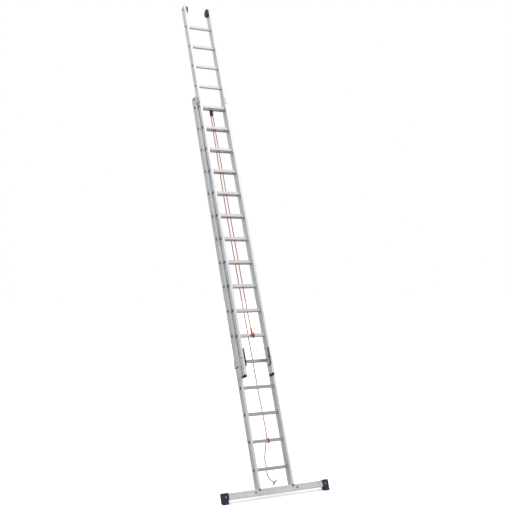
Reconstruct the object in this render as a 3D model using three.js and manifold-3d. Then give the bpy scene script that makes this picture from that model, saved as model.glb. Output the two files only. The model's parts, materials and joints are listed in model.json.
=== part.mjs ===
// Two-section rope-operated extension ladder, standing at its working lean.
//
// Everything is drawn in the ladder's own directions and then leaned back as a whole:
//   x  across the rungs, left is negative
//   y  from the climber's side (negative) to the wall side (positive)
//   z  along the stiles, upwards
// Millimetres throughout. After the lean, the floor is z = 0 and the origin is midway
// between the soles of the two stabiliser feet.

import * as THREE from 'three';
import { mergeVertices } from 'three/addons/utils/BufferGeometryUtils.js';
import Module from 'manifold-3d';

const wasm = await Module();
wasm.setup();

// Driving dimensions
const LEAN = THREE.MathUtils.degToRad(20);
const PITCH = 280; // rung to rung
const GAP = 0.3; // between pieces that touch
const OVERCUT = 1; // how far a cutting solid reaches past the face it opens
const WELD = 1e-4; // corners closer than this are one corner
const FINE = 24; // sides of the larger turned pieces
const COARSE = 12; // sides of pins and their bores
const SIDES = [['left', -1], ['right', 1]];

const STILE = { width: 25, depth: 84, wall: 2.5, groove: 1.2, corner: 2 };
// Places across a stile's outer web, and 1 where the groove is cut to its full depth.
const STILE_GROOVES = [
  [-30, 0], [-28, 1], [-14, 1], [-12, 0], [12, 0], [14, 1], [28, 1], [30, 0],
];
const RUNG = { depth: 28, height: 30, wall: 2, y: -2 };

const BASE = { width: 410, rungs: 16, firstRung: 212, bottom: 24.6, top: 4538, y: 0 };
const FLY = { width: 352, rungs: 15, firstRung: 1600, bottom: 1174, top: 5800, y: -61 };

const BAR = { half: 600, front: -38.7, back: 1.3, bottom: -40, top: 24, wall: 3 };
const TONGUE = { bottom: -30, top: 70, thickness: 3 };
const FOOT = { length: 63, wall: 4, bottom: -82, top: 31, outer: 609, grip: 52, corner: 5 };

const PLATE = 3; // bent guide plates
const SLIDE_CLEARANCE = 1.5;
const LOWER_GUIDE = { bottom: 1276, top: 1358, lip: 18, flange: 50 };
const TOP_GUIDE = { bottom: 4450, top: 4536, lip: 20, inset: 1 };
const PLUG = { corner: 6, bottomLength: 24, topLength: 10 };

const ROLLER = { radius: 52.5, width: 18, z: 5768, inner: 130, bore: 5.4, shoulder: 4 };
const AXLE = { radius: 5, head: 9, headHeight: 4, nutHeight: 6 };

const PULLEY = { x: 3, y: -3, z: 4348, pin: 4 };
const SHEAVE = { rim: 26, groove: 18.6, width: 15, bore: 4.4, land: 1.8, halfFloor: 3.4 };
const CHEEK = {
  thickness: 3, halfWidth: 25, gap: 0.8, below: 33, above: 9, corner: 12, pinEnd: 3,
};

// A lock hook is drawn seated over the base rung, then swung clear of every rung.
const LOCK = { pivotY: -90, pivotZ: 1352, rung: 1332, swing: THREE.MathUtils.degToRad(70) };
const LOCK_PIN = { radius: 4, bore: 4.3, seatGap: 2.8 };
const LOCK_X = { face: 150.7, plate: 147.7, edge: 141.7, hookOut: 147.4, hookIn: 139, pin: 137 };

const ROPE = 9; // diameter
const ROPE_SIDES = 8;
const KNOT = { x: 20, ringRadius: 25.7, ringSides: 8, ringSteps: 16, y: -43, z: 1630 };
const KNOT_PROFILE = [[0, -13], [9, -9], [11, 0], [9, 9], [0, 13]];
const TAIL_KNOT_DIAMETER = 12;

// Colours
const ALUMINIUM = { color: 0xc4c5c8, roughness: 0.38, metalness: 0.9 };
const CAST = { color: 0xa9aaac, roughness: 0.5, metalness: 0.8 };
const STEEL = { color: 0x3c3c40, roughness: 0.45, metalness: 0.8 };
const NAVY = { color: 0x24224a, roughness: 0.5, metalness: 0 };
const BLACK = { color: 0x17171a, roughness: 0.5, metalness: 0 };
const ORANGE = { color: 0xd4542a, roughness: 0.85, metalness: 0 };

const ladder = new THREE.Group();

function add(name, geometry, look) {
  const mesh = new THREE.Mesh(geometry, new THREE.MeshStandardMaterial(look));
  mesh.name = name;
  ladder.add(mesh);
}

// Solids: each helper returns one closed geometry, already in place.

// Always anticlockwise, so that mirrored outlines and their holes keep opposite directions.
function outline(points) {
  const corners = points.map(([a, b]) => new THREE.Vector2(a, b));
  if (THREE.ShapeUtils.isClockWise(corners)) corners.reverse();
  return new THREE.Shape(corners);
}

function rectangle(x0, y0, x1, y1) {
  return [[x0, y0], [x1, y0], [x1, y1], [x0, y1]];
}

function extrude(shape, depth) {
  return new THREE.ExtrudeGeometry(shape, { depth, bevelEnabled: false, curveSegments: 6 });
}

// An outline in x and y, running from z0 to z1.
function alongZ(shape, z0, z1) {
  return extrude(shape, z1 - z0).translate(0, 0, z0);
}

// An outline in y and z, running from x0 to x1.
function alongX(shape, x0, x1) {
  const turn = new THREE.Matrix4().makeBasis(
    new THREE.Vector3(0, 1, 0), new THREE.Vector3(0, 0, 1), new THREE.Vector3(1, 0, 0));
  return extrude(shape, x1 - x0).applyMatrix4(turn).translate(x0, 0, 0);
}

// An outline in x and z, running from y0 (the far side) down to y1.
function alongY(shape, y0, y1) {
  const turn = new THREE.Matrix4().makeBasis(
    new THREE.Vector3(1, 0, 0), new THREE.Vector3(0, 0, 1), new THREE.Vector3(0, -1, 0));
  return extrude(shape, y0 - y1).applyMatrix4(turn).translate(0, y0, 0);
}

// A turned piece: profile points are [radius, x], the axis lies along x through y, z.
function turned(profile, y, z, segments) {
  const points = profile.map(([radius, x]) => new THREE.Vector2(radius, x));
  const geometry = new THREE.LatheGeometry(points, segments);
  return geometry.rotateZ(-Math.PI / 2).translate(0, y, z);
}

function box(x0, y0, z0, x1, y1, z1) {
  const size = new THREE.BoxGeometry(x1 - x0, y1 - y0, z1 - z0);
  return size.translate((x0 + x1) / 2, (y0 + y1) / 2, (z0 + z1) / 2);
}

// Two distances from the middle on one side of the ladder, lower x first.
function between(side, a, b) {
  return [side * a, side * b].sort((p, q) => p - q);
}

function solid(geometry) {
  const bare = geometry.clone();
  bare.deleteAttribute('normal');
  bare.deleteAttribute('uv');
  const merged = mergeVertices(bare, WELD);
  return new wasm.Manifold(new wasm.Mesh({
    numProp: 3,
    vertProperties: new Float32Array(merged.attributes.position.array),
    triVerts: new Uint32Array(merged.index.array),
  }));
}

function combine(geometry, joins, cuts) {
  let body = solid(geometry);
  for (const piece of joins) body = body.add(solid(piece));
  for (const piece of cuts) body = body.subtract(solid(piece));
  const mesh = body.getMesh();
  const result = new THREE.BufferGeometry();
  const positions = [];
  for (let i = 0; i < mesh.vertProperties.length; i += mesh.numProp) {
    positions.push(...mesh.vertProperties.subarray(i, i + 3));
  }
  result.setAttribute('position', new THREE.Float32BufferAttribute(positions, 3));
  result.setIndex([...mesh.triVerts]);
  result.computeVertexNormals();
  return result;
}

function rungHeights(section) {
  return Array.from({ length: section.rungs }, (_, i) => section.firstRung + i * PITCH);
}

// Stiles: hollow box sections with two shallow grooves along the outer web.

function stileOutline(section, side) {
  const outer = section.width / 2;
  const half = STILE.depth / 2;
  const web = STILE_GROOVES.map(([y, cut]) => [outer - cut * STILE.groove, section.y + y]);
  const { corner } = STILE;
  const points = [
    [outer - corner, section.y - half], [outer, section.y - half + corner],
    ...web,
    [outer, section.y + half - corner], [outer - corner, section.y + half],
    [outer - STILE.width, section.y + half], [outer - STILE.width, section.y - half],
  ];
  const inset = STILE.wall + STILE.groove;
  const cell = rectangle(
    outer - STILE.width + STILE.wall, section.y - half + STILE.wall,
    outer - inset, section.y + half - STILE.wall);
  const shape = outline(points.map(([x, y]) => [side * x, y]));
  shape.holes.push(outline(cell.map(([x, y]) => [side * x, y])));
  return shape;
}

function rungHole(section, side, z) {
  const outer = section.width / 2;
  const [x0, x1] = between(side, outer - STILE.width - OVERCUT, outer + OVERCUT);
  const y = section.y + RUNG.y;
  return box(
    x0, y - RUNG.depth / 2 - GAP, z - RUNG.height / 2 - GAP,
    x1, y + RUNG.depth / 2 + GAP, z + RUNG.height / 2 + GAP);
}

// The front wall of a base stile runs on down over the stabiliser bar as a round-ended tongue.
function tongue(side) {
  const radius = STILE.width / 2;
  const middle = side * (BASE.width / 2 - radius);
  const shape = new THREE.Shape();
  shape.absarc(middle, TONGUE.bottom + radius, radius, Math.PI, 2 * Math.PI, false);
  shape.lineTo(middle + radius, TONGUE.top);
  shape.lineTo(middle - radius, TONGUE.top);
  shape.closePath();
  const front = -STILE.depth / 2;
  return alongY(shape, front + TONGUE.thickness, front);
}

function baseStile(side) {
  const holes = rungHeights(BASE).map((z) => rungHole(BASE, side, z));
  const body = alongZ(stileOutline(BASE, side), BASE.bottom, BASE.top);
  return combine(body, [tongue(side)], holes);
}

function flyStile(side) {
  const holes = rungHeights(FLY).map((z) => rungHole(FLY, side, z));
  const reach = FLY.width / 2 + OVERCUT;
  const axleHole = turned(
    [[0, -reach], [AXLE.radius + GAP, -reach], [AXLE.radius + GAP, reach], [0, reach]],
    FLY.y, ROLLER.z, COARSE);
  return combine(alongZ(stileOutline(FLY, side), FLY.bottom, FLY.top), [], [...holes, axleHole]);
}

// Rungs: hollow rectangular tubes whose open ends show in the outer webs.
function rung(section, z) {
  const y = section.y + RUNG.y;
  const [dy, dz] = [RUNG.depth / 2, RUNG.height / 2];
  const shape = outline(rectangle(y - dy, z - dz, y + dy, z + dz));
  const [iy, iz] = [dy - RUNG.wall, dz - RUNG.wall];
  shape.holes.push(outline(rectangle(y - iy, z - iz, y + iy, z + iz)));
  return alongX(shape, -section.width / 2, section.width / 2);
}

// Stabiliser bar and its two feet.
function stabiliserBar() {
  const shape = outline(rectangle(BAR.front, BAR.bottom, BAR.back, BAR.top));
  shape.holes.push(outline(rectangle(
    BAR.front + BAR.wall, BAR.bottom + BAR.wall, BAR.back - BAR.wall, BAR.top - BAR.wall)));
  return alongX(shape, -BAR.half, BAR.half);
}

// The sole is cut to the lean, so it lies flat on the floor.
function foot(side) {
  const [front, back] = [BAR.front - FOOT.wall, BAR.back + FOOT.wall];
  const soleRise = (back - front) * Math.tan(LEAN);
  const c = FOOT.corner;
  const shape = outline([
    [front, FOOT.bottom], [back, FOOT.bottom + soleRise],
    [back, FOOT.top - c], [back - c, FOOT.top], [front + c, FOOT.top], [front, FOOT.top - c],
  ]);
  const [x0, x1] = between(side, FOOT.outer - FOOT.length, FOOT.outer);
  const [low, high] = between(side, BAR.half - FOOT.grip - FOOT.length, BAR.half + GAP);
  const socket = box(
    low, BAR.front - GAP, BAR.bottom - GAP, high, BAR.back + GAP, BAR.top + GAP);
  return combine(alongX(shape, x0, x1), [], [socket]);
}

// Guides: bent plates that keep the two sections together.

// Fixed to the fly, wrapped round the base stile.
function lowerGuide(side) {
  const face = FLY.width / 2 + GAP;
  const outside = BASE.width / 2 + SLIDE_CLEARANCE;
  const front = -STILE.depth / 2 - SLIDE_CLEARANCE;
  const back = STILE.depth / 2 + SLIDE_CLEARANCE;
  const lip = outside - LOWER_GUIDE.lip;
  const points = [
    [face, front - LOWER_GUIDE.flange], [face + PLATE, front - LOWER_GUIDE.flange],
    [face + PLATE, front - PLATE], [outside + PLATE, front - PLATE],
    [outside + PLATE, back + PLATE], [lip, back + PLATE], [lip, back],
    [outside, back], [outside, front], [face, front],
  ];
  const shape = outline(points.map(([x, y]) => [side * x, y]));
  return alongZ(shape, LOWER_GUIDE.bottom, LOWER_GUIDE.top);
}

// Fixed to the front of the base stile, wrapped round the fly stile.
function topGuide(side) {
  const outer = BASE.width / 2 - TOP_GUIDE.inset;
  const fly = FLY.width / 2 + SLIDE_CLEARANCE;
  const seat = -STILE.depth / 2 - GAP;
  const front = FLY.y - STILE.depth / 2 - SLIDE_CLEARANCE;
  const lip = fly - TOP_GUIDE.lip;
  const points = [
    [outer, seat], [outer, seat - PLATE], [fly + PLATE, seat - PLATE],
    [fly + PLATE, front - PLATE], [lip, front - PLATE], [lip, front], [fly, front], [fly, seat],
  ];
  const shape = outline(points.map(([x, y]) => [side * x, y]));
  return alongZ(shape, TOP_GUIDE.bottom, TOP_GUIDE.top);
}

// A plastic end plug over a stile: a plain slab with clipped corners.
function endPlug(section, side, z0, z1) {
  const outer = section.width / 2;
  const inner = outer - STILE.width;
  const half = STILE.depth / 2;
  const c = PLUG.corner;
  const points = [
    [inner + c, section.y - half], [outer - c, section.y - half], [outer, section.y - half + c],
    [outer, section.y + half - c], [outer - c, section.y + half], [inner + c, section.y + half],
    [inner, section.y + half - c], [inner, section.y - half + c],
  ];
  return alongZ(outline(points.map(([x, y]) => [side * x, y])), z0, z1);
}

function bottomPlug(side) {
  return endPlug(FLY, side, FLY.bottom - PLUG.bottomLength, FLY.bottom - GAP);
}

function topCap(side) {
  return endPlug(FLY, side, FLY.top + GAP, FLY.top + PLUG.topLength);
}

// Wall rollers, each on an axle through the top of a fly stile.
function roller(side) {
  const [a, b] = between(side, ROLLER.inner, ROLLER.inner + ROLLER.width);
  const { radius, bore, shoulder } = ROLLER;
  const profile = [
    [bore, a], [radius - shoulder, a], [radius, a + shoulder],
    [radius, b - shoulder], [radius - shoulder, b], [bore, b], [bore, a],
  ];
  return turned(profile, FLY.y, ROLLER.z, FINE);
}

function axle(side) {
  const outside = FLY.width / 2 + GAP;
  const nut = ROLLER.inner - GAP;
  const profile = [
    [0, nut - AXLE.nutHeight], [AXLE.head, nut - AXLE.nutHeight], [AXLE.head, nut],
    [AXLE.radius, nut],
    [AXLE.radius, outside], [AXLE.head, outside], [AXLE.head, outside + AXLE.headHeight],
    [0, outside + AXLE.headHeight],
  ];
  const placed = side > 0 ? profile : profile.map(([radius, x]) => [radius, -x]).reverse();
  return turned(placed, FLY.y, ROLLER.z, COARSE);
}

// Pulley under the top rung of the base: a sheave between two cheeks that hang on the rung.
function sheave() {
  const { x } = PULLEY;
  const { rim, groove, bore, land, halfFloor } = SHEAVE;
  const half = SHEAVE.width / 2;
  const profile = [
    [bore, x - half], [rim, x - half], [rim, x - half + land], [groove, x - halfFloor],
    [groove, x + halfFloor], [rim, x + half - land], [rim, x + half], [bore, x + half],
    [bore, x - half],
  ];
  return turned(profile, PULLEY.y, PULLEY.z, FINE);
}

function pulleyBlock() {
  const topRung = BASE.firstRung + (BASE.rungs - 1) * PITCH;
  const [low, high] = [PULLEY.z - CHEEK.below, topRung + RUNG.height / 2 + CHEEK.above];
  const w = CHEEK.halfWidth;
  const c = CHEEK.corner;
  const plate = outline([
    [PULLEY.y - w + c, low], [PULLEY.y + w - c, low], [PULLEY.y + w, low + c],
    [PULLEY.y + w, high - c], [PULLEY.y + w - c, high], [PULLEY.y - w + c, high],
    [PULLEY.y - w, high - c], [PULLEY.y - w, low + c],
  ]);
  const [dy, dz] = [RUNG.depth / 2 + GAP, RUNG.height / 2 + GAP];
  const y = RUNG.y;
  plate.holes.push(outline(rectangle(y - dy, topRung - dz, y + dy, topRung + dz)));
  const inside = SHEAVE.width / 2 + CHEEK.gap;
  const outside = inside + CHEEK.thickness;
  const cheeks = SIDES.map(([, side]) => {
    const [x0, x1] = between(side, inside, outside);
    return alongX(plate, PULLEY.x + x0, PULLEY.x + x1);
  });
  const [pinLow, pinHigh] = [-1, 1].map((end) => PULLEY.x + end * (outside + CHEEK.pinEnd));
  const pin = turned(
    [[0, pinLow], [PULLEY.pin, pinLow], [PULLEY.pin, pinHigh], [0, pinHigh]],
    PULLEY.y, PULLEY.z, COARSE);
  return combine(cheeks[0], [cheeks[1], pin], []);
}

// Rung locks: a bracket fixed inside each fly stile, and a hook that pivots on it.

function lockBracket(side) {
  const edge = outline([
    [-114, 1262], [-48, 1262], [-48, 1271], [-103, 1271], [-103, 1452], [-114, 1452],
  ]);
  const plate = outline(rectangle(-104, 1270, -70, 1400));
  const [pinLow, pinHigh] = between(side, LOCK_X.pin, LOCK_X.plate + OVERCUT);
  const { radius } = LOCK_PIN;
  const pin = turned(
    [[0, pinLow], [radius, pinLow], [radius, pinHigh], [0, pinHigh]],
    LOCK.pivotY, LOCK.pivotZ, COARSE);
  return combine(
    alongX(edge, ...between(side, LOCK_X.edge, LOCK_X.face)),
    [alongX(plate, ...between(side, LOCK_X.plate, LOCK_X.face)), pin], []);
}

function lockHook(side) {
  const under = LOCK.rung + RUNG.height / 2 + LOCK_PIN.seatGap;
  const shape = outline([
    [-98, 1344], [-82, 1344], [-60, under], [15, under], [15, 1325], [24, 1325],
    [24, 1364], [-70, 1366], [-84, 1361], [-98, 1360],
  ]);
  const [low, high] = between(side, LOCK_X.hookIn, LOCK_X.hookOut);
  const [start, end] = [low - OVERCUT, high + OVERCUT];
  const bore = turned(
    [[0, start], [LOCK_PIN.bore, start], [LOCK_PIN.bore, end], [0, end]],
    LOCK.pivotY, LOCK.pivotZ, COARSE);
  const hook = combine(alongX(shape, low, high), [], [bore]);
  hook.translate(0, -LOCK.pivotY, -LOCK.pivotZ).rotateX(LOCK.swing);
  return hook.translate(0, LOCK.pivotY, LOCK.pivotZ);
}

// Rope

class RoundSection extends THREE.Shape {
  constructor(diameter, sides) {
    super();
    const ring = Array.from({ length: sides }, (_, i) => (2 * Math.PI * i) / sides);
    this.setFromPoints(ring.map((turn) => new THREE.Vector2(
      (diameter / 2) * Math.cos(turn), (diameter / 2) * Math.sin(turn))));
  }
}

// A curve whose steps fall at its own points, so that tight turns get short steps.
class Route extends THREE.CatmullRomCurve3 {
  constructor(points) {
    super(points.map((p) => new THREE.Vector3(...p)), false, 'centripetal');
  }

  getPointAt(u, target) {
    return this.getPoint(u, target);
  }

  getTangentAt(u, target) {
    return this.getTangent(u, target);
  }
}

function tube(points, diameter = ROPE) {
  const section = new RoundSection(diameter, ROPE_SIDES);
  const steps = 2 * (points.length - 1);
  return new THREE.ExtrudeGeometry(
    section, { steps, extrudePath: new Route(points), bevelEnabled: false });
}

// From the knot on the fly's lowest rung up to the sheave and over it.
const HAUL_ROUTE = [
  [18, -43, 1641.6], [13, -42, 1760], [8, -41, 2000], [4, -36, 2750], [2, -31, 3600],
  [3, -27, 4270], [3, -27, 4348], [3, -23.8, 4360], [3, -15, 4368.8], [3, -3, 4372],
  [3, 9, 4368.8], [3, 17.8, 4360], [3, 21, 4348], [3, 21, 4330],
];

// Down behind the base rungs, once round the second rung, then the loose tail.
const FREE_ROUTE = [
  [3, 21, 4329.7], [3, 23, 4240], [3, 31, 3900], [3, 39, 3450], [5, 44, 3000], [7, 47, 2600],
  [10, 47, 2200], [13, 45, 1770], [15, 40, 1400], [17, 33, 1000], [22, 28, 700], [22, 25, 560],
  [20, 23.6, 492], [19, 20.2, 479.2], [18, 10.8, 469.8], [17, -2, 466.4], [16, -14.8, 469.8],
  [15, -24.2, 479.2], [14, -27.6, 492], [12, -24.2, 504.8], [11, -14.8, 514.2], [10, -2, 517.6],
  [9, 10.8, 514.2], [7, 20.4, 504.8], [4, 27, 486],
  [-2, 40, 441], [-8, 52, 405], [-13, 71, 354], [-14, 82, 325], [-11, 92, 296], [-2, 104, 265],
  [6, 121, 220], [14, 137, 177], [26, 148, 146], [47, 157, 118], [70, 164, 99], [90.5, 169.5, 84.5],
];

const TAIL_KNOT_ROUTE = [[80, 180, 56], [97, 172, 80], [127, 160, 109]];

function ringAroundRung() {
  const sides = KNOT.ringSides;
  const profile = Array.from({ length: sides + 1 }, (_, i) => {
    const turn = (2 * Math.PI * (i % sides)) / sides;
    return [
      KNOT.ringRadius + (ROPE / 2) * Math.cos(turn), KNOT.x + (ROPE / 2) * Math.sin(turn)];
  });
  return turned(profile, FLY.y + RUNG.y, FLY.firstRung, KNOT.ringSteps);
}

function haulKnot() {
  const profile = KNOT_PROFILE.map(([radius, along]) => [radius, KNOT.x + along]);
  const knot = turned(profile, KNOT.y, KNOT.z, ROPE_SIDES);
  return combine(ringAroundRung(), [knot], []);
}


// Assembly

for (const [name, side] of SIDES) {
  add(`base_stile_${name}`, baseStile(side), ALUMINIUM);
  add(`stabiliser_foot_${name}`, foot(side), NAVY);
  add(`top_guide_${name}`, topGuide(side), ALUMINIUM);
  add(`fly_stile_${name}`, flyStile(side), ALUMINIUM);
  add(`fly_bottom_plug_${name}`, bottomPlug(side), NAVY);
  add(`fly_top_cap_${name}`, topCap(side), CAST);
  add(`lower_guide_${name}`, lowerGuide(side), ALUMINIUM);
  add(`wall_roller_${name}`, roller(side), NAVY);
  add(`roller_axle_${name}`, axle(side), STEEL);
  add(`lock_bracket_${name}`, lockBracket(side), CAST);
  add(`lock_hook_${name}`, lockHook(side), CAST);
}

for (const [name, section] of [['base', BASE], ['fly', FLY]]) {
  rungHeights(section).forEach((z, i) => {
    add(`${name}_rung_${String(i + 1).padStart(2, '0')}`, rung(section, z), ALUMINIUM);
  });
}

add('stabiliser_bar', stabiliserBar(), ALUMINIUM);
add('pulley_block', pulleyBlock(), BLACK);
add('pulley_sheave', sheave(), BLACK);
add('haul_rope', tube(HAUL_ROUTE), ORANGE);
add('haul_knot', haulKnot(), ORANGE);
add('free_rope', tube(FREE_ROUTE), ORANGE);
add('free_rope_knot', tube(TAIL_KNOT_ROUTE, TAIL_KNOT_DIAMETER), ORANGE);

// Lean the ladder back, and drop it so that the soles rest at z = 0 with the origin between them.
function placeOnFloor() {
  const leaned = ([y, z]) => [
    y * Math.cos(LEAN) + z * Math.sin(LEAN), z * Math.cos(LEAN) - y * Math.sin(LEAN)];
  const [front, back] = [BAR.front - FOOT.wall, BAR.back + FOOT.wall];
  const toe = leaned([front, FOOT.bottom]);
  const heel = leaned([back, FOOT.bottom + (back - front) * Math.tan(LEAN)]);
  ladder.rotation.x = -LEAN;
  ladder.position.set(0, -(toe[0] + heel[0]) / 2, -toe[1]);
}

placeOnFloor();

const model = new THREE.Group();
model.add(ladder);
model.updateMatrixWorld(true);

export default model;
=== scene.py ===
import json
import math

import bpy
from mathutils import Matrix, Vector


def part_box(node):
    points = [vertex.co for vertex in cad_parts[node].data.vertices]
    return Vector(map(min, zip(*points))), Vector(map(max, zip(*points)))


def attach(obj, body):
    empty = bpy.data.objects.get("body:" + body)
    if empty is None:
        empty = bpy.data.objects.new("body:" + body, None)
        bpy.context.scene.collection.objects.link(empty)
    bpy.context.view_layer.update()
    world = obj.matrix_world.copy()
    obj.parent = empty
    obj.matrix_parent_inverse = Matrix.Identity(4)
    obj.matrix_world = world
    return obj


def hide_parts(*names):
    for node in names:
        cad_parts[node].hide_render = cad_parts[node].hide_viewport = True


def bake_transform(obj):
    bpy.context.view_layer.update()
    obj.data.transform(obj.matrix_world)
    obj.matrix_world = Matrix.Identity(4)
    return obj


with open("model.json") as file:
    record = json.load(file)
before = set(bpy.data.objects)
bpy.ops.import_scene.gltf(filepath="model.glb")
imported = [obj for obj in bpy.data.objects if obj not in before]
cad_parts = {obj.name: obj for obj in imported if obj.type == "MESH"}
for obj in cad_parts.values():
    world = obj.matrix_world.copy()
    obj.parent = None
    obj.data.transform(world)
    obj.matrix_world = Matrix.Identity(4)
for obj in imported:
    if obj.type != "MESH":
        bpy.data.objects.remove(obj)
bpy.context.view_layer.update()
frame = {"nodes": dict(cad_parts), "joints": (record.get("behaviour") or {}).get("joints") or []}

# The ladder's own directions, in millimetres: x across the rungs, y from the climber to the wall,
# z up along the stiles. The slide's axis gives the lean, and the stabiliser bar gives the place.
SLIDE = Vector(next(j["axis"] for j in frame["joints"] if j["name"] == "fly_slide"))
LEAN = math.atan2(SLIDE.y, SLIDE.z)
BAR = {"front": -38.7, "back": 1.3, "bottom": -40, "top": 24}
BAR_CENTRE = Vector((0, (BAR["front"] + BAR["back"]) / 2, (BAR["bottom"] + BAR["top"]) / 2)) / 1000
TILT = Matrix.Rotation(-LEAN, 4, "X")
BAR_MIDDLE = (Vector(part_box("stabiliser_bar")[0]) + Vector(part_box("stabiliser_bar")[1])) / 2
PLACE = Matrix.Translation(BAR_MIDDLE - TILT @ BAR_CENTRE) @ TILT

SIDES = (("left", -1), ("right", 1))
FORWARD = (0, -1, 0)
BACKWARD = (0, 1, 0)
PITCH = 280
BASE = {"half": 205, "y": 0, "first": 212, "rungs": 16, "body": "root"}
FLY = {"half": 176, "y": -61, "first": 1600, "rungs": 15, "body": "fly"}
STILE_WIDTH = 25
STILE_DEPTH = 84
RUNG = {"depth": 28, "height": 30, "y": -2}
LOCK_PIVOT = (-90, 1352)
BRACKET_EDGE_Y = -103.2
BRACKET_FOOT_Z = 1271.2
SHEAVE_CENTRE = (3, -3, 4348)
ROLLER_AXIS = (FLY["y"], 5768)
ROLLER = {"near": 130, "width": 18}
OVER_STRANDS = 10.6


def at(point):
    """A point given in the ladder's own millimetres, in the frame's metres."""
    return PLACE @ (Vector(point) / 1000)


# Camera


# Fitted to the photo by its rung ends, stile edges and feet, in metres.
VIEWPOINT = (-4.12746, -7.45153, 2.22074)
VIEW_RIGHT = Vector((0.89009, -0.45571, -0.00810))
VIEW_UP = Vector((-0.01238, -0.04193, 0.99904))
VIEW_AHEAD = Vector((0.45561, 0.88914, 0.04296))
SENSOR_WIDTH = 36
FOCAL_LENGTH = 58.8
LENS_SHIFT = (0.0161, -0.031)
FARTHEST = 100


def place_camera():
    data = bpy.data.cameras.new("camera")
    data.sensor_width = SENSOR_WIDTH
    data.lens = FOCAL_LENGTH
    data.shift_x, data.shift_y = LENS_SHIFT
    data.clip_end = FARTHEST
    camera = bpy.data.objects.new("camera", data)
    turn = Matrix((VIEW_RIGHT, VIEW_UP, -VIEW_AHEAD)).transposed().to_4x4()
    camera.matrix_world = Matrix.Translation(VIEWPOINT) @ turn
    bpy.context.scene.collection.objects.link(camera)
    bpy.context.scene.camera = camera


# Mesh tools. Points are in the ladder's own millimetres.


def piece(name, parts, material, body, smooth=True):
    """One object made of several (points, faces) parts."""
    points, faces = [], []
    for part_points, part_faces in parts:
        start = len(points)
        points += [at(p) for p in part_points]
        faces += [[start + i for i in face] for face in part_faces]
    mesh = bpy.data.meshes.new(name)
    mesh.from_pydata(points, [], faces)
    mesh.validate()
    mesh.materials.append(material)
    mesh.shade_smooth() if smooth else mesh.shade_flat()
    obj = bpy.data.objects.new(name, mesh)
    bpy.context.scene.collection.objects.link(obj)
    if body:
        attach(obj, body)
    return obj


SHARP_EDGE = math.radians(35)


def soften(obj, width, segments=2):
    """Rounds the sharp edges a little; width is in millimetres."""
    bevel = obj.modifiers.new("soft_edges", "BEVEL")
    bevel.width = width / 1000
    bevel.segments = segments
    bevel.limit_method = "ANGLE"
    bevel.angle_limit = SHARP_EDGE
    bevel.harden_normals = False


def spline(points, step):
    """Evenly spaced points on the centripetal Catmull-Rom curve through the given points."""
    p = [Vector(q) for q in points]
    p = [2 * p[0] - p[1], *p, 2 * p[-1] - p[-2]]
    fine = []
    for a, b, c, d in zip(p, p[1:], p[2:], p[3:]):
        t1 = (b - a).length ** 0.5
        t2 = t1 + (c - b).length ** 0.5
        t3 = t2 + (d - c).length ** 0.5
        pieces = max(4, int((c - b).length / 2))
        for i in range(pieces):
            t = t1 + (t2 - t1) * i / pieces
            ab = a.lerp(b, t / t1)
            bc = b.lerp(c, (t - t1) / (t2 - t1))
            cd = c.lerp(d, (t - t2) / (t3 - t2))
            abc = ab.lerp(bc, t / t2)
            bcd = bc.lerp(cd, (t - t1) / (t3 - t1))
            fine.append(abc.lerp(bcd, (t - t1) / (t2 - t1)))
    fine.append(p[-2])
    length = sum((b - a).length for a, b in zip(fine, fine[1:]))
    count = max(2, round(length / step))
    even, travelled, index = [fine[0]], 0, 0
    for k in range(1, count):
        wanted = length * k / count
        while travelled + (fine[index + 1] - fine[index]).length < wanted:
            travelled += (fine[index + 1] - fine[index]).length
            index += 1
        share = (wanted - travelled) / (fine[index + 1] - fine[index]).length
        even.append(fine[index].lerp(fine[index + 1], share))
    return [*even, fine[-1]]


def tube(path, ring, closed=False):
    """A skin round a path. ring(i) gives the section at point i as (across, up) pairs."""
    count = len(path)
    tangents = []
    for i in range(count):
        before = path[(i - 1) % count] if closed or i else path[0]
        after = path[(i + 1) % count] if closed or i < count - 1 else path[-1]
        tangents.append((after - before).normalized())
    side = tangents[0].orthogonal().normalized()
    points, faces = [], []
    for i, tangent in enumerate(tangents):
        side = (side - tangent * side.dot(tangent)).normalized()
        up = tangent.cross(side)
        points += [path[i] + side * a + up * b for a, b in ring(i)]
    sides = len(ring(0))
    for i in range(count if closed else count - 1):
        here, there = i * sides, ((i + 1) % count) * sides
        for k in range(sides):
            n = (k + 1) % sides
            faces.append((here + k, here + n, there + n, there + k))
    if not closed:
        faces.append(tuple(reversed(range(sides))))
        faces.append(tuple((count - 1) * sides + k for k in range(sides)))
    return points, faces


def circle(radius, sides):
    """A round section for tube, as (across, up) pairs."""
    turns = [2 * math.pi * k / sides for k in range(sides)]
    return [(radius * math.cos(t), radius * math.sin(t)) for t in turns]


ROPE_SIDES = 12
LAY_LENGTH = 42
GROOVE = 0.2


def rope(path, step, closed=False, diameter=OVER_STRANDS):
    """Three strands laid round each other: a lobed section that turns along the rope.

    The diameter is over the tops of the strands, so the rope measures a little less.
    """
    turns_in_all = len(path) * step / LAY_LENGTH
    if closed:
        turns_in_all = max(1, round(turns_in_all))

    def ring(i):
        twist = 2 * math.pi * turns_in_all * i / len(path)
        taper = 1 if closed else min(1, 0.75 + 0.25 * min(i, len(path) - 1 - i))
        section = []
        for k in range(ROPE_SIDES):
            turn = 2 * math.pi * k / ROPE_SIDES
            lobe = abs(math.cos(1.5 * (turn - twist)))
            radius = taper * diameter / 2 * (1 - GROOVE * (1 - lobe))
            section.append((radius * math.cos(turn), radius * math.sin(turn)))
        return section

    return tube(path, ring, closed)


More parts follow.
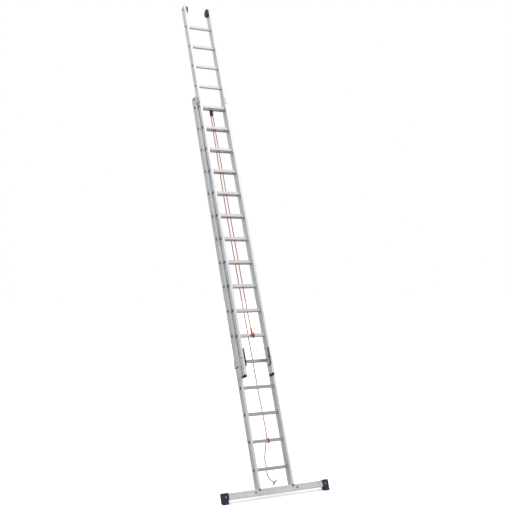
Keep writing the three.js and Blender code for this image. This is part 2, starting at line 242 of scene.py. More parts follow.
def turned(profile, centre, axis, segments=24):
    """A turned part: profile points are (radius, distance along the axis)."""
    axis = Vector(axis).normalized()
    side = axis.orthogonal().normalized()
    up = axis.cross(side)
    points, faces = [], []
    for radius, along in profile:
        for k in range(segments):
            turn = 2 * math.pi * k / segments
            out = side * math.cos(turn) + up * math.sin(turn)
            points.append(Vector(centre) + axis * along + out * radius)
    for i in range(len(profile) - 1):
        here, there = i * segments, (i + 1) * segments
        for k in range(segments):
            n = (k + 1) % segments
            faces.append((here + k, here + n, there + n, there + k))
    faces.append(tuple(reversed(range(segments))))
    faces.append(tuple((len(profile) - 1) * segments + k for k in range(segments)))
    return points, faces


def block(low, high):
    """A plain box between two corners."""
    (x0, y0, z0), (x1, y1, z1) = low, high
    points = [(x, y, z) for z in (z0, z1) for y in (y0, y1) for x in (x0, x1)]
    faces = [(0, 2, 3, 1), (4, 5, 7, 6), (0, 1, 5, 4), (2, 6, 7, 3), (0, 4, 6, 2), (1, 3, 7, 5)]
    return points, faces


def prism(outline, x0, x1):
    """An outline in y and z, from x0 to x1."""
    count = len(outline)
    area = sum(a[0] * b[1] - b[0] * a[1] for a, b in zip(outline, outline[1:] + outline[:1]))
    if area < 0:
        outline = outline[::-1]
    points = [(x, y, z) for x in (x0, x1) for y, z in outline]
    faces = [tuple(reversed(range(count))), tuple(range(count, 2 * count))]
    faces += [(k, (k + 1) % count, count + (k + 1) % count, count + k) for k in range(count)]
    return points, faces


def frame_ring(inner, outer, x0, x1):
    """A rectangular collar in y and z; inner and outer are (y0, z0, y1, z1)."""
    points, faces = [], []
    for y0, z0, y1, z1 in (inner, outer):
        for x in (x0, x1):
            points += [(x, y0, z0), (x, y1, z0), (x, y1, z1), (x, y0, z1)]
    for k in range(4):
        n = (k + 1) % 4
        faces.append((k, n, 4 + n, 4 + k)[::-1])
        faces.append((8 + k, 8 + n, 12 + n, 12 + k))
        faces.append((k, 8 + k, 8 + n, n)[::-1])
        faces.append((4 + k, 12 + k, 12 + n, 4 + n))
    return points, faces


# Materials


def shader(name, colour, roughness, metallic=0.0):
    """A new material, with its nodes, its links and its Principled node."""
    material = bpy.data.materials.new(name)
    material.use_nodes = True
    nodes, links = material.node_tree.nodes, material.node_tree.links
    bsdf = nodes["Principled BSDF"]
    bsdf.inputs["Base Color"].default_value = (*colour, 1)
    bsdf.inputs["Roughness"].default_value = roughness
    bsdf.inputs["Metallic"].default_value = metallic
    return material, nodes, links, bsdf


def ladder_space(nodes, links, scale):
    """Texture places along the ladder's own directions, scaled separately along x, y and z."""
    source = nodes.new("ShaderNodeTexCoord")
    turn = nodes.new("ShaderNodeMapping")
    turn.inputs["Rotation"].default_value = (LEAN, 0, 0)
    stretch = nodes.new("ShaderNodeMapping")
    stretch.inputs["Scale"].default_value = scale
    links.new(source.outputs["Object"], turn.inputs["Vector"])
    links.new(turn.outputs["Vector"], stretch.inputs["Vector"])
    return stretch.outputs["Vector"]


def noise(nodes, links, place, scale, detail):
    texture = nodes.new("ShaderNodeTexNoise")
    texture.inputs["Scale"].default_value = scale
    texture.inputs["Detail"].default_value = detail
    links.new(place, texture.inputs["Vector"])
    return texture.outputs["Fac"]


def ramp(nodes, links, value, stops):
    """stops are (position, grey or colour)."""
    node = nodes.new("ShaderNodeValToRGB")
    while len(node.color_ramp.elements) < len(stops):
        node.color_ramp.elements.new(0.5)
    for element, (position, colour) in zip(node.color_ramp.elements, stops):
        element.position = position
        grey = isinstance(colour, (int, float))
        element.color = (colour, colour, colour, 1) if grey else (*colour, 1)
    links.new(value, node.inputs["Fac"])
    return node.outputs["Color"]


def blended(nodes, links, mode, share, first, second):
    """Mixes two colours. The share and both colours are values, or sockets to link."""
    node = nodes.new("ShaderNodeMix")
    node.data_type = "RGBA"
    node.blend_type = mode
    if isinstance(share, (int, float)):
        node.inputs[0].default_value = share
    else:
        links.new(share, node.inputs[0])
    for socket, value in ((node.inputs[6], first), (node.inputs[7], second)):
        if isinstance(value, tuple):
            socket.default_value = (*value, 1)
        else:
            links.new(value, socket)
    return node.outputs[2]


def bump(nodes, links, bsdf, height, distance, strength):
    """Relief on the surface; distance is in millimetres."""
    node = nodes.new("ShaderNodeBump")
    node.inputs["Distance"].default_value = distance / 1000
    node.inputs["Strength"].default_value = strength
    links.new(height, node.inputs["Height"])
    links.new(node.outputs["Normal"], bsdf.inputs["Normal"])


def scaled(colour, factor):
    """The colour made lighter or darker, no lighter than white."""
    return tuple(min(1, c * factor) for c in colour)


def extruded(name, colour, along):
    """Mill-finish extrusion: fine draw lines along it, soft smudges and scuffs."""
    material, nodes, links, bsdf = shader(name, colour, 0.42, 0.85)
    line_scale = (1.5, 260, 260) if along == "x" else (260, 260, 1.5)
    lines = noise(nodes, links, ladder_space(nodes, links, line_scale), 4, 4)
    clouds = noise(nodes, links, ladder_space(nodes, links, (1, 1, 0.5)), 9, 5)
    scuffs = noise(nodes, links, ladder_space(nodes, links, (60, 60, 14)), 3, 6)
    fine = ramp(nodes, links, lines, [(0.3, scaled(colour, 0.9)), (0.7, scaled(colour, 1.06))])
    smudge = ramp(nodes, links, clouds, [(0.35, 0.86), (0.62, 1.0)])
    tinted = blended(nodes, links, "MULTIPLY", 1.0, fine, smudge)
    marks = ramp(nodes, links, scuffs, [(0.62, 0.0), (0.78, 0.5)])
    worn = blended(nodes, links, "MIX", marks, tinted, scaled(colour, 0.72))
    links.new(worn, bsdf.inputs["Base Color"])
    gloss = ramp(nodes, links, clouds, [(0.3, 0.34), (0.7, 0.52)])
    links.new(gloss, bsdf.inputs["Roughness"])
    bump(nodes, links, bsdf, lines, 0.12, 0.5)
    return material


def tread(name, colour):
    """Rung extrusion: anti-slip ridges right across the rung, as relief, with painted shade that
    darkens the grooves between them.
    """
    material, nodes, links, bsdf = shader(name, colour, 0.4, 0.85)
    place = ladder_space(nodes, links, (1, 1, 1))
    ridge = nodes.new("ShaderNodeTexWave")
    ridge.wave_type = "BANDS"
    ridge.bands_direction = "DIAGONAL"
    ridge.inputs["Scale"].default_value = 55
    flat = nodes.new("ShaderNodeMapping")
    flat.inputs["Scale"].default_value = (0, 1, 1)
    links.new(place, flat.inputs["Vector"])
    links.new(flat.outputs["Vector"], ridge.inputs["Vector"])
    clouds = noise(nodes, links, place, 14, 5)
    lines = noise(nodes, links, ladder_space(nodes, links, (2, 220, 220)), 4, 4)
    # Painted shade: the grooves between the ridges are darkened in the colour.
    furrow_painted_shade = ramp(nodes, links, ridge.outputs["Fac"], [(0.05, scaled(colour, 0.6)), (0.4, colour)])
    rubbed = ramp(nodes, links, clouds, [(0.35, 0.92), (0.65, 1.0)])
    links.new(blended(nodes, links, "MULTIPLY", 1.0, furrow_painted_shade, rubbed), bsdf.inputs["Base Color"])
    gloss = ramp(nodes, links, lines, [(0.3, 0.34), (0.7, 0.5)])
    links.new(gloss, bsdf.inputs["Roughness"])
    bump(nodes, links, bsdf, ridge.outputs["Fac"], 0.6, 0.6)
    return material


def moulded(name, colour, roughness):
    """Injection-moulded plastic: fine grain, rubbed patches and pale scuffs."""
    material, nodes, links, bsdf = shader(name, colour, roughness)
    place = ladder_space(nodes, links, (1, 1, 1))
    pebble = noise(nodes, links, place, 900, 2)
    patches = noise(nodes, links, place, 22, 5)
    scratches = noise(nodes, links, ladder_space(nodes, links, (20, 90, 90)), 4, 6)
    body = ramp(nodes, links, patches, [(0.3, scaled(colour, 0.8)), (0.7, scaled(colour, 1.25))])
    marks = ramp(nodes, links, scratches, [(0.64, 0.0), (0.8, 0.35)])
    pale = tuple(0.55 * c + 0.12 for c in colour)
    links.new(blended(nodes, links, "MIX", marks, body, pale), bsdf.inputs["Base Color"])
    gloss = ramp(nodes, links, patches, [(0.3, roughness - 0.08), (0.7, roughness + 0.14)])
    links.new(gloss, bsdf.inputs["Roughness"])
    bump(nodes, links, bsdf, pebble, 0.08, 0.5)
    return material


def metal(name, colour, roughness, metallic, grain):
    """Cast or plated metal: a fine pebbled skin with duller and brighter patches."""
    material, nodes, links, bsdf = shader(name, colour, roughness, metallic)
    place = ladder_space(nodes, links, (1, 1, 1))
    pebble = noise(nodes, links, place, grain, 4)
    patches = noise(nodes, links, place, 40, 5)
    body = ramp(nodes, links, patches, [(0.3, scaled(colour, 0.75)), (0.7, scaled(colour, 1.15))])
    links.new(body, bsdf.inputs["Base Color"])
    gloss = ramp(nodes, links, patches, [(0.3, roughness - 0.1), (0.7, roughness + 0.12)])
    links.new(gloss, bsdf.inputs["Roughness"])
    bump(nodes, links, bsdf, pebble, 0.15, 0.5)
    return material


def two_tone(name, pale, dark, edge_y, foot_z):
    """Grey plate, blackened in front of edge_y and below foot_z (the ladder's millimetres)."""
    material, nodes, links, bsdf = shader(name, pale, 0.45, 0.5)
    source = nodes.new("ShaderNodeTexCoord")
    shift = nodes.new("ShaderNodeVectorMath")
    shift.operation = "SUBTRACT"
    shift.inputs[1].default_value = PLACE.translation
    turn = nodes.new("ShaderNodeMapping")
    turn.inputs["Rotation"].default_value = (LEAN, 0, 0)
    parts = nodes.new("ShaderNodeSeparateXYZ")
    links.new(source.outputs["Object"], shift.inputs[0])
    links.new(shift.outputs["Vector"], turn.inputs["Vector"])
    links.new(turn.outputs["Vector"], parts.inputs["Vector"])
    masks = []
    for axis, limit in (("Y", edge_y), ("Z", foot_z)):
        below = nodes.new("ShaderNodeMath")
        below.operation = "LESS_THAN"
        below.inputs[1].default_value = limit / 1000
        links.new(parts.outputs[axis], below.inputs[0])
        masks.append(below.outputs["Value"])
    either = nodes.new("ShaderNodeMath")
    either.operation = "MAXIMUM"
    links.new(masks[0], either.inputs[0])
    links.new(masks[1], either.inputs[1])
    patches = noise(nodes, links, ladder_space(nodes, links, (1, 1, 1)), 40, 5)
    light = ramp(nodes, links, patches, [(0.3, scaled(pale, 0.8)), (0.7, scaled(pale, 1.1))])
    deep = ramp(nodes, links, patches, [(0.3, scaled(dark, 0.7)), (0.7, scaled(dark, 1.5))])
    links.new(blended(nodes, links, "MIX", either.outputs["Value"], light, deep),
              bsdf.inputs["Base Color"])
    links.new(ramp(nodes, links, patches, [(0.3, 0.4), (0.7, 0.6)]), bsdf.inputs["Roughness"])
    bump(nodes, links, bsdf, patches, 0.15, 0.4)
    return material


def fibre(name, colour):
    """Laid polypropylene rope: thin fibres, some faded, some dirty."""
    material, nodes, links, bsdf = shader(name, colour, 0.75)
    place = ladder_space(nodes, links, (1, 1, 1))
    strands = noise(nodes, links, ladder_space(nodes, links, (900, 900, 160)), 2, 3)
    faded = noise(nodes, links, place, 12, 4)
    threads = ramp(nodes, links, strands, [(0.3, scaled(colour, 0.7)), (0.7, scaled(colour, 1.3))])
    dull = ramp(nodes, links, faded, [(0.35, 0.82), (0.65, 1.0)])
    links.new(blended(nodes, links, "MULTIPLY", 1.0, threads, dull), bsdf.inputs["Base Color"])
    bsdf.inputs["Sheen Weight"].default_value = 0.25
    links.new(ramp(nodes, links, strands, [(0.3, 0.62), (0.7, 0.85)]), bsdf.inputs["Roughness"])
    bump(nodes, links, bsdf, strands, 0.3, 0.7)
    return material


# The fly's rails and rungs are painted lighter than the base's, as painted light for light that
# falls brighter higher up the ladder, and the base's rungs get a darker copy as painted shade; all
# are one aluminium.
ALUMINIUM = (0.71, 0.715, 0.73)
PALE_GREY = (0.62, 0.62, 0.63)
RAIL = extruded("rail_extrusion", ALUMINIUM, "z")
# Painted light: a lighter copy of the rail finish for the fly's stiles.
FLY_RAIL_PAINTED_LIGHT = extruded("fly_rail_painted_light", (0.77, 0.775, 0.785), "z")
BAR_SKIN = extruded("bar_extrusion", ALUMINIUM, "x")
# Painted shade on the base's rungs and painted light on the fly's: two copies of one rung finish.
BASE_TREAD_PAINTED_SHADE = tread("rung_extrusion", (0.47, 0.47, 0.465))
FLY_TREAD_PAINTED_LIGHT = tread("fly_rung_painted_light", (0.70, 0.70, 0.695))
CAST = metal("cast_alloy", (0.66, 0.66, 0.67), 0.45, 0.8, 700)
DARK_STEEL = metal("dark_steel", (0.035, 0.035, 0.04), 0.4, 0.6, 900)
ZINC = metal("zinc_screw", PALE_GREY, 0.32, 0.9, 900)
NAVY = moulded("navy_moulding", (0.010, 0.010, 0.044), 0.58)
WHEEL = moulded("navy_wheel", (0.016, 0.018, 0.085), 0.45)
BRACKET = two_tone(
    "lock_bracket", PALE_GREY, (0.03, 0.03, 0.032), BRACKET_EDGE_Y, BRACKET_FOOT_Z)
BLACK = moulded("black_moulding", (0.012, 0.012, 0.014), 0.45)
PALE = moulded("pale_collar", (0.62, 0.62, 0.62), 0.5)
ORANGE_LABEL = moulded("orange_sticker", (0.80, 0.20, 0.04), 0.4)
ROPE_FIBRE = fibre("rope_fibre", (0.60, 0.07, 0.015))


# Rope. Both routes repeat the CAD's.

KNOT_X = 20
KNOT_Y = -43
WRAP_Z = 1630
KNOT_BALL = Vector((0, -91, 1594))
HAUL_ROUTE = [
    (18, -43, 1641.6), (13, -42, 1760), (8, -41, 2000), (4, -36, 2750), (2, -31, 3600),
    (3, -27, 4270), (3, -27, 4348), (3, -23.8, 4360), (3, -15, 4368.8), (3, -3, 4372),
    (3, 9, 4368.8), (3, 17.8, 4360), (3, 21, 4348), (3, 21, 4330),
]
FREE_ROUTE = [
    (3, 21, 4329.7), (3, 23, 4240), (3, 31, 3900), (3, 39, 3450), (5, 44, 3000), (7, 47, 2600),
    (10, 47, 2200), (13, 45, 1770), (15, 40, 1400), (17, 33, 1000), (22, 28, 700), (22, 25, 560),
    (20, 23.6, 492), (19, 20.2, 479.2), (18, 10.8, 469.8), (17, -2, 466.4), (16, -14.8, 469.8),
    (15, -24.2, 479.2), (14, -27.6, 492), (12, -24.2, 504.8), (11, -14.8, 514.2), (10, -2, 517.6),
    (9, 10.8, 514.2), (7, 20.4, 504.8), (4, 27, 486),
    (-2, 40, 441), (-8, 52, 405), (-13, 71, 354), (-14, 82, 325), (-11, 92, 296), (-2, 104, 265),
    (6, 121, 220), (14, 137, 177), (26, 148, 146), (47, 157, 118), (70, 164, 99),
    (90.5, 169.5, 84.5),
]
TAIL_LOOP = [(80, 180, 56), (97, 172, 80), (127, 160, 109)]
KNOT_LEAD = [(18, -48, 1628), (15, -68, 1624), (9, -86, 1614), (2, -94, 1603)]
ROPE_STEP = 5


def coil(centre, axis, radius, pitch, turns, step=16):
    """Points of a short helix about an axis, with step points a turn and centred on centre."""
    axis = Vector(axis).normalized()
    side = axis.orthogonal().normalized()
    up = axis.cross(side)
    count = round(turns * step)
    points = []
    for i in range(count + 1):
        turn = 2 * math.pi * i / step
        along = pitch * (i / step - turns / 2)
        out = side * math.cos(turn) + up * math.sin(turn)
        points.append(Vector(centre) + axis * along + out * radius)
    return points


def free_rope():
    """The rope from the sheave down, round base rung 2 and out to the floor."""
    path = spline(FREE_ROUTE, ROPE_STEP)
    obj = piece("rope_fall", [rope(path, ROPE_STEP)], ROPE_FIBRE, "root")
    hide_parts("free_rope")
    return obj, path


def rope_tail_knot():
    """The knot at the free end, with its short stub."""
    stub = rope(spline(TAIL_LOOP, 4), 4, diameter=11.5)
    low, middle, high = (Vector(p) for p in TAIL_LOOP)
    wraps = rope(coil(middle, high - low, 6.0, 5.5, 3), 2, diameter=7)
    obj = piece("rope_end_knot", [stub, wraps], ROPE_FIBRE, "root")
    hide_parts("free_rope_knot")
    return obj


def haul_rope():
    """The rope from the fly's lowest rung up and over the sheave."""
    path = spline(HAUL_ROUTE, ROPE_STEP)
    obj = piece("rope_haul", [rope(path, ROPE_STEP)], ROPE_FIBRE, None)
    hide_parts("haul_rope")
    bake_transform(obj)


def haul_knot():
    """A turn round the fly's lowest rung, with wraps on it, a wound ball in front and a neck."""
    middle_y, radius, count = FLY["y"] + RUNG["y"], 25.7, 40
    turns = [2 * math.pi * k / count for k in range(count)]
    ring = [
        Vector((KNOT_X, middle_y + radius * math.cos(t), FLY["first"] + radius * math.sin(t)))
        for t in turns
    ]
    step = 2 * math.pi * radius / count
    wraps = rope(coil((KNOT_X, KNOT_Y, WRAP_Z), (1, 0, 0), 6, 8, 2.6), 2.4, diameter=8)
    core = rope(
        [Vector((KNOT_X + dx, KNOT_Y, WRAP_Z)) for dx in range(-11, 12, 2)], 2, diameter=8)
    slope = -0.25
    winding = rope(coil(KNOT_BALL, (1, 0.1, slope), 8.5, 7.5, 3.4), 3.3, diameter=10.5)
    heart = rope(
        [KNOT_BALL + Vector((dx, 0, slope * dx)) for dx in range(-14, 15, 2)], 2, diameter=10)
    lead = rope(spline(KNOT_LEAD, 4), 4)
    neck = rope(coil((17.2, KNOT_Y, 1663), (-0.04, 0, 1), 5.5, 7, 7), 2.2, diameter=7)
    parts = [rope(ring, step, closed=True), wraps, core, winding, heart, lead, neck]
    obj = piece("rope_rung_hitch", parts, ROPE_FIBRE, "fly")
    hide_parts("haul_knot")


place_camera()
fall, fall_path = free_rope()
tail = rope_tail_knot()
haul_rope()
haul_knot()


# Fastenings

BRACE_BOLT = {"x": 192.5, "y": -42, "z": 16, "radius": 7.5, "height": 7}
BAR_BOLT = {"x": 238, "z": -8, "radius": 6, "height": 5.5}
FOOT_SCREW = {"x": 571, "z": -11, "radius": 5, "height": 2.4}
FOOT_WALL = 4
GUIDE_SCREW = {"radius": 5, "height": 3}
TOP_SCREWS = {"x": 193, "y": -45.3, "z": (4468, 4518)}
TOP_BOLT = {"y": -27, "z": 4514, "radius": 6.5, "height": 16}
LOWER_RIVETS = {"x": 179.3, "y": (-84, -60), "z": (1296, 1338)}
# Black strips under the lower guides' outer lips: a painted shadow where their bottom edges are in
# shade.
PAINTED_SHADOW_STRIP = {"x": (205.6, 211.5), "half": 45.5, "z": (1270, 1276.2)}


def screw(centre, out, radius, height):
    """A domed head on a thin washer, with a round drive recess."""
    profile = [
        (radius * 1.35, -0.4), (radius * 1.35, 0.8), (radius, 1.0), (radius * 0.96, height * 0.6),
        (radius * 0.72, height * 0.93), (radius * 0.42, height), (radius * 0.38, height * 0.45),
        (0.2, height * 0.42),
    ]
    return turned(profile, centre, out, 18)


def hex_bolt(centre, out, radius, height):
    """A washer and a six-sided head."""
    disc = [(radius * 1.4, -0.4), (radius * 1.4, 1.4), (radius * 0.9, 1.4)]
    washer = turned(disc, centre, out, 24)
    crown = [(radius, 1.3), (radius, height * 0.82), (radius * 0.84, height), (0.2, height)]
    return [washer, turned(crown, centre, out, 6)]


def foot_fastenings():
    """Bolts that hold the stiles and the bar together, and the screws of the two feet."""
    heavy = []
    for _, side in SIDES:
        place = (side * BRACE_BOLT["x"], BRACE_BOLT["y"], BRACE_BOLT["z"])
        heavy += hex_bolt(place, FORWARD, BRACE_BOLT["radius"], BRACE_BOLT["height"])
        place = (side * BAR_BOLT["x"], BAR["front"], BAR_BOLT["z"])
        heavy += hex_bolt(place, FORWARD, BAR_BOLT["radius"], BAR_BOLT["height"])
    obj = piece("bar_bolts", heavy, DARK_STEEL, "root", smooth=False)
    light = []
    for y, out in ((BAR["front"] - FOOT_WALL, FORWARD), (BAR["back"] + FOOT_WALL, BACKWARD)):
        for _, side in SIDES:
            place = (side * FOOT_SCREW["x"], y, FOOT_SCREW["z"])
            light.append(screw(place, out, FOOT_SCREW["radius"], FOOT_SCREW["height"]))
    piece("foot_screws", light, ZINC, "root")


def guide_fastenings():
    """Screws, bolts and rivets of the four guides, and black strips under the lower two, as a
    painted shadow along their bottom edges.
    """
    fixed, moving, bolts, shadow_strips = [], [], [], []
    for _, side in SIDES:
        outward = (side, 0, 0)
        for z in TOP_SCREWS["z"]:
            place = (side * TOP_SCREWS["x"], TOP_SCREWS["y"], z)
            fixed.append(screw(place, FORWARD, **GUIDE_SCREW))
        for z in LOWER_RIVETS["z"]:
            for y in LOWER_RIVETS["y"]:
                moving.append(screw((side * LOWER_RIVETS["x"], y, z), outward, **GUIDE_SCREW))
        place = (side * BASE["half"], TOP_BOLT["y"], TOP_BOLT["z"])
        bolts += hex_bolt(place, outward, TOP_BOLT["radius"], TOP_BOLT["height"])
        # Painted shadow: a black strip under each lower guide's outer lip.
        x0, x1 = sorted(side * x for x in PAINTED_SHADOW_STRIP["x"])
        z0, z1 = PAINTED_SHADOW_STRIP["z"]
        shadow_strips.append(block((x0, -PAINTED_SHADOW_STRIP["half"], z0), (x1, PAINTED_SHADOW_STRIP["half"], z1)))
    piece("top_guide_bolts", bolts, DARK_STEEL, "root", smooth=False)
    shadow_strip = piece("lower_guide_shadow_strips", shadow_strips, BLACK, "fly", smooth=False)
    soften(shadow_strip, 0.8)
    piece("top_guide_screws", fixed, ZINC, "root")
    piece("lower_guide_rivets", moving, ZINC, "fly")


def lock_hardware():
    """Pivot nut and return spring on each lock hook, and the bolt head outside the stile."""
    nut_profile = [(9, 0), (9, 1), (6.5, 1.2), (6.5, 5), (5, 6), (0.2, 6)]
    nut_x, spring_x = 138.6, 136
    for name, side in SIDES:
        inward, outward = (-side, 0, 0), (side, 0, 0)
        nut = turned(nut_profile, (side * nut_x, *LOCK_PIVOT), inward, 6)
        obj = piece(f"lock_pivot_{name}", [nut], DARK_STEEL, f"lock_{name}", smooth=False)
        wire = spline(coil((side * spring_x, *LOCK_PIVOT), inward, 10.5, 2, 2.5, 20), 2)
        turns = tube(wire, lambda i: circle(0.9, 6))
        spring = piece(f"lock_spring_{name}", [turns], ZINC, f"lock_{name}")
        head = hex_bolt((side * FLY["half"], *LOCK_PIVOT), outward, 6.5, 5.5)
        outer = piece(f"lock_bolt_head_{name}", head, DARK_STEEL, "fly", smooth=False)


# Rungs: a pressed collar on the inner face of the stile at each end


COLLAR = {"gap": 0.1, "width": 2.5, "height": 2.5}


def rung_collars(section, name):
    inner_face = section["half"] - STILE_WIDTH
    y = section["y"] + RUNG["y"]
    parts = []
    for i in range(section["rungs"]):
        z = section["first"] + i * PITCH
        inner, outer = (
            (y - RUNG["depth"] / 2 - grow, z - RUNG["height"] / 2 - grow,
             y + RUNG["depth"] / 2 + grow, z + RUNG["height"] / 2 + grow)
            for grow in (COLLAR["gap"], COLLAR["height"])
        )
        near, far = inner_face - COLLAR["gap"], inner_face - COLLAR["gap"] - COLLAR["width"]
        for _, side in SIDES:
            parts.append(frame_ring(inner, outer, *sorted((side * near, side * far))))
    obj = piece(f"{name}_rung_collars", parts, BAR_SKIN, section["body"], smooth=False)
    soften(obj, 0.7, 1)


# Pulley: black block under the top rung, on a grey strap that goes over it


CHEEK = {"half": 25, "inside": 8.3, "outside": 11.3, "sink": 6, "top": 44, "clip": 4}
BRIDGE = {"half": 20, "bottom": 32}
PIN_HEAD = [(7, 0), (7, 2), (5, 3), (0.2, 3)]
STRAP = {"inside": 17.5, "thick": 3, "half": 8, "rise": 11, "crown": 9, "low": 34}


def pulley_housing():
    x, y, z = SHEAVE_CENTRE
    half, near, far = CHEEK["half"], CHEEK["inside"], CHEEK["outside"]
    shoulder, crest = z + CHEEK["top"] - CHEEK["clip"], z + CHEEK["top"]
    cheek = []
    for turn in range(0, 181, 20):
        a = math.radians(180 + turn)
        cheek.append((y + half * math.cos(a), z - CHEEK["sink"] + half * math.sin(a)))
    narrow = half - CHEEK["clip"]
    cheek += [(y + half, shoulder), (y + narrow, crest), (y - narrow, crest), (y - half, shoulder)]
    parts = [prism(cheek, x - far, x - near), prism(cheek, x + near, x + far)]
    parts.append(block((x - near, y - BRIDGE["half"], z + BRIDGE["bottom"]),
                       (x + near, y + BRIDGE["half"], crest)))
    for out in (-1, 1):
        parts.append(turned(PIN_HEAD, (x + out * far, y, z), (out, 0, 0)))
    obj = piece("pulley_housing", parts, BLACK, "root", smooth=False)
    soften(obj, 0.8)
    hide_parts("pulley_block")


def pulley_hanger():
    """A strap over the top rung, down into the block on both sides."""
    x, _, z = SHEAVE_CENTRE
    y = RUNG["y"]
    spring_line = BASE["first"] + (BASE["rungs"] - 1) * PITCH + STRAP["rise"]
    inside, outside = STRAP["inside"], STRAP["inside"] + STRAP["thick"]
    inner, outer = [], []
    for turn in range(0, 181, 15):
        a = math.radians(turn)
        across, up = math.cos(a), math.sin(a)
        inner.append((y + inside * across, spring_line + STRAP["crown"] * up))
        outer.append((y + outside * across, spring_line + (STRAP["crown"] + STRAP["thick"]) * up))
    low = z + STRAP["low"]
    outline = [(y + outside, low), *outer, (y - outside, low), (y - inside, low)]
    outline += [*inner[::-1], (y + inside, low)]
    strap = prism(outline, x - STRAP["half"], x + STRAP["half"])
    hanger = piece("pulley_hanger", [strap], CAST, "root", smooth=False)
    soften(hanger, 0.5, 1)


# Wall rollers: rounded tread, sunk web and a hub


WHEEL_PROFILE = [
    (5.6, 0), (15, 0), (16, 3.5), (38, 4.5), (41, 1), (48, 0.4), (51.6, 2.2), (52.4, 5),
    (51.4, 8.2), (52.4, 9), (51.4, 9.8), (52.4, 13), (51.6, 15.8), (48, 17.6), (41, 17),
    (38, 13.5), (16, 14.5), (15, ROLLER["width"]), (5.6, ROLLER["width"]),
]
WASHER_PROFILE = [(13, 0.2), (13, -1.2), (11.5, -2), (7, -2), (6.2, -1.4), (6.2, 0.2)]
CRISP_EDGE = math.radians(40)


def wall_rollers():
    for name, side in SIDES:
        centre, outward = (side * ROLLER["near"], *ROLLER_AXIS), (side, 0, 0)
        wheel = turned(WHEEL_PROFILE, centre, outward, 48)
        obj = piece(f"roller_wheel_{name}", [wheel], WHEEL, f"roller_{name}")
        split = obj.modifiers.new("crisp", "EDGE_SPLIT")
        split.split_angle = CRISP_EDGE
        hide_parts(f"wall_roller_{name}")
        ring = turned(WASHER_PROFILE, centre, outward, 32)
        washer = piece(f"roller_washer_{name}", [ring], ZINC, f"roller_{name}")


# Small trim

BAR_COLLAR = {"from": 530, "to": 537, "thick": 1.6}
FOOT_SKIRT = {"from": 537, "to": 546.1, "thick": 3.9}
RIB_SPANS = ((-529, -209), (-178, 178), (209, 529))
RIB = {"inset": 2, "height": 14, "proud": 1.4, "sunk": 0.2}
DOT_PLACE = (-BASE["half"], -3, 1133)
DOT_PROFILE = [(9, 0), (9, 0.35), (8.6, 0.5), (0.2, 0.5)]


def base_top_caps():
    """Cast caps that close the tops of the base stiles."""
    half, clip, low, high = STILE_DEPTH / 2, 6, 4538.3, 4546
    corners = [(-half + clip, low), (half - clip, low), (half, low + 2), (half, high - 3),
               (half - 4, high), (-half + 4, high), (-half, high - 3), (-half, low + 2)]
    outer_x, inner_x = BASE["half"], BASE["half"] - STILE_WIDTH
    parts = [prism(corners, *sorted((side * outer_x, side * inner_x))) for _, side in SIDES]
    obj = piece("base_top_caps", parts, CAST, "root", smooth=False)
    soften(obj, 1.5)


def bar_sleeve(side, sleeve):
    """A collar round the stabiliser bar, between two distances from its middle."""
    inner, outer = (
        (BAR["front"] - grow, BAR["bottom"] - grow, BAR["back"] + grow, BAR["top"] + grow)
        for grow in (0.05, sleeve["thick"])
    )
    return frame_ring(inner, outer, *sorted((side * sleeve["from"], side * sleeve["to"])))


def trim():
    """The bar's collars, skirts and ribs, and the round sticker, which carries no mark."""
    collars = [bar_sleeve(side, BAR_COLLAR) for _, side in SIDES]
    skirts = [bar_sleeve(side, FOOT_SKIRT) for _, side in SIDES]
    piece("bar_collars", collars, PALE, "root", smooth=False)
    skirt = piece("foot_skirts", skirts, NAVY, "root", smooth=False)
    soften(skirt, 0.9)
    lowest, highest = BAR["bottom"] + RIB["inset"], BAR["top"] - RIB["inset"]
    front, root = BAR["front"] - RIB["proud"], BAR["front"] + RIB["sunk"]
    ribs = []
    for x0, x1 in RIB_SPANS:
        for z in (lowest, highest - RIB["height"]):
            ribs.append(block((x0, front, z), (x1, root, z + RIB["height"])))
    obj = piece("bar_ribs", ribs, BAR_SKIN, "root", smooth=False)
    soften(obj, 0.6, 1)
    dot = turned(DOT_PROFILE, DOT_PLACE, (-1, 0, 0), 32)
    piece("plain_orange_dot", [dot], ORANGE_LABEL, "root")


# The CAD nodes keep their meshes and get their finishes here: the start of each node's name, its
# material, and how far its edges are rounded in millimetres. The base's rungs get a darker copy of
# the rung finish as painted shade, and the fly's stiles and rungs lighter copies as painted light.

FINISHES = (
    ("base_stile", RAIL, 0.8), ("fly_stile", FLY_RAIL_PAINTED_LIGHT, 0.8), ("base_rung", BASE_TREAD_PAINTED_SHADE, 1.6),
    ("fly_rung", FLY_TREAD_PAINTED_LIGHT, 1.6), ("stabiliser_bar", BAR_SKIN, 2),
    ("stabiliser_foot", NAVY, 1.6), ("top_guide", RAIL, 1), ("lower_guide", RAIL, 1),
    ("fly_top_cap", CAST, 1.5), ("fly_bottom_plug", NAVY, 3), ("lock_bracket", BRACKET, 0.8),
    ("lock_hook", CAST, 1), ("roller_axle", DARK_STEEL, 0.5), ("pulley_sheave", BLACK, 0),
)


def finish_node(name, material, edge):
    obj = frame["nodes"][name]
    obj.data.materials.clear()
    obj.data.materials.append(material)
    if edge:
        soften(obj, edge)


def dress_nodes():
    for name in frame["nodes"]:
        for start, material, edge in FINISHES:
            if name.startswith(start):
                finish_node(name, material, edge)


foot_fastenings()
guide_fastenings()
lock_hardware()
rung_collars(BASE, "base")
rung_collars(FLY, "fly")
pulley_housing()
pulley_hanger()
wall_rollers()
base_top_caps()
trim()
dress_nodes()


# Studio, in metres

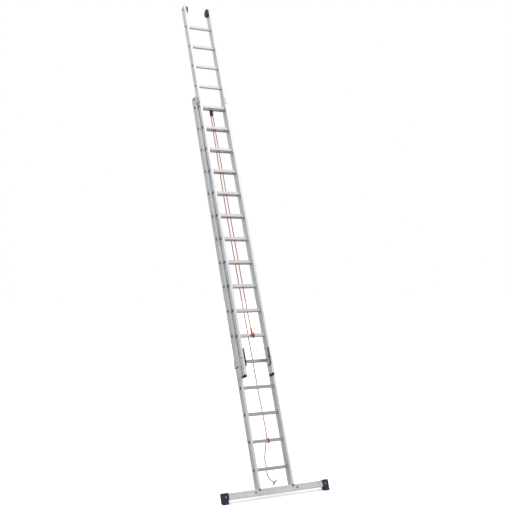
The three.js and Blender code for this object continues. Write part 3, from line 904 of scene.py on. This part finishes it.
SKY = [(0.0, 0.38), (0.3, 0.48), (0.6, 0.69), (0.85, 1.0)]
SKY_STRENGTH = 1.6
KEY_LIGHT = {"place": (1.8, -2.6, 8.4), "target": (0, 1.6, 4.6), "size": 2.6, "power": 20}
FLOOR_REACH = 60
FLOOR_AS_LIGHT = 0.42
FLOOR_AS_SEEN = 0.94
FLOOR_GLOW = 0.18


def key_light():
    place, target = Vector(KEY_LIGHT["place"]), Vector(KEY_LIGHT["target"])
    data = bpy.data.lights.new("key", "AREA")
    data.size = KEY_LIGHT["size"]
    data.energy = KEY_LIGHT["power"]
    obj = bpy.data.objects.new("key", data)
    obj.location = place
    obj.rotation_euler = (target - place).to_track_quat("-Z", "Y").to_euler()
    bpy.context.scene.collection.objects.link(obj)


def floor():
    """Pale and faintly glowing to the camera, but it throws only part of its light back up."""
    material, nodes, links, bsdf = shader("studio_floor", (0.93, 0.93, 0.93), 0.95)
    ray = nodes.new("ShaderNodeLightPath")
    stops = [(0.0, FLOOR_AS_LIGHT), (1.0, FLOOR_AS_SEEN)]
    shade = ramp(nodes, links, ray.outputs["Is Camera Ray"], stops)
    glow = nodes.new("ShaderNodeMath")
    glow.operation = "MULTIPLY"
    glow.inputs[1].default_value = FLOOR_GLOW
    links.new(shade, bsdf.inputs["Base Color"])
    bsdf.inputs["Specular IOR Level"].default_value = 0.1
    bsdf.inputs["Emission Color"].default_value = (1, 1, 1, 1)
    links.new(ray.outputs["Is Camera Ray"], glow.inputs[0])
    links.new(glow.outputs["Value"], bsdf.inputs["Emission Strength"])
    mesh = bpy.data.meshes.new("studio_floor")
    r = FLOOR_REACH
    mesh.from_pydata([(-r, -r, 0), (r, -r, 0), (r, r, 0), (-r, r, 0)], [], [(0, 1, 2, 3)])
    mesh.materials.append(material)
    obj = bpy.data.objects.new("studio_floor", mesh)
    bpy.context.scene.collection.objects.link(obj)


def studio():
    """White to the eye, but as a light the surroundings brighten from the horizon to overhead."""
    scene = bpy.context.scene
    scene.view_settings.view_transform = "Standard"
    world = bpy.data.worlds.new("studio")
    scene.world = world
    world.use_nodes = True
    nodes, links = world.node_tree.nodes, world.node_tree.links
    seen = nodes["Background"]
    seen.inputs["Color"].default_value = (1, 1, 1, 1)
    around = nodes.new("ShaderNodeBackground")
    where = nodes.new("ShaderNodeTexCoord")
    parts = nodes.new("ShaderNodeSeparateXYZ")
    links.new(where.outputs["Generated"], parts.inputs["Vector"])
    tone = ramp(nodes, links, parts.outputs["Z"], SKY)
    links.new(tone, around.inputs["Color"])
    around.inputs["Strength"].default_value = SKY_STRENGTH
    ray = nodes.new("ShaderNodeLightPath")
    chosen = nodes.new("ShaderNodeMixShader")
    links.new(ray.outputs["Is Camera Ray"], chosen.inputs["Fac"])
    links.new(around.outputs["Background"], chosen.inputs[1])
    links.new(seen.outputs["Background"], chosen.inputs[2])
    links.new(chosen.outputs["Shader"], nodes["World Output"].inputs["Surface"])
    key_light()
    floor()


studio()
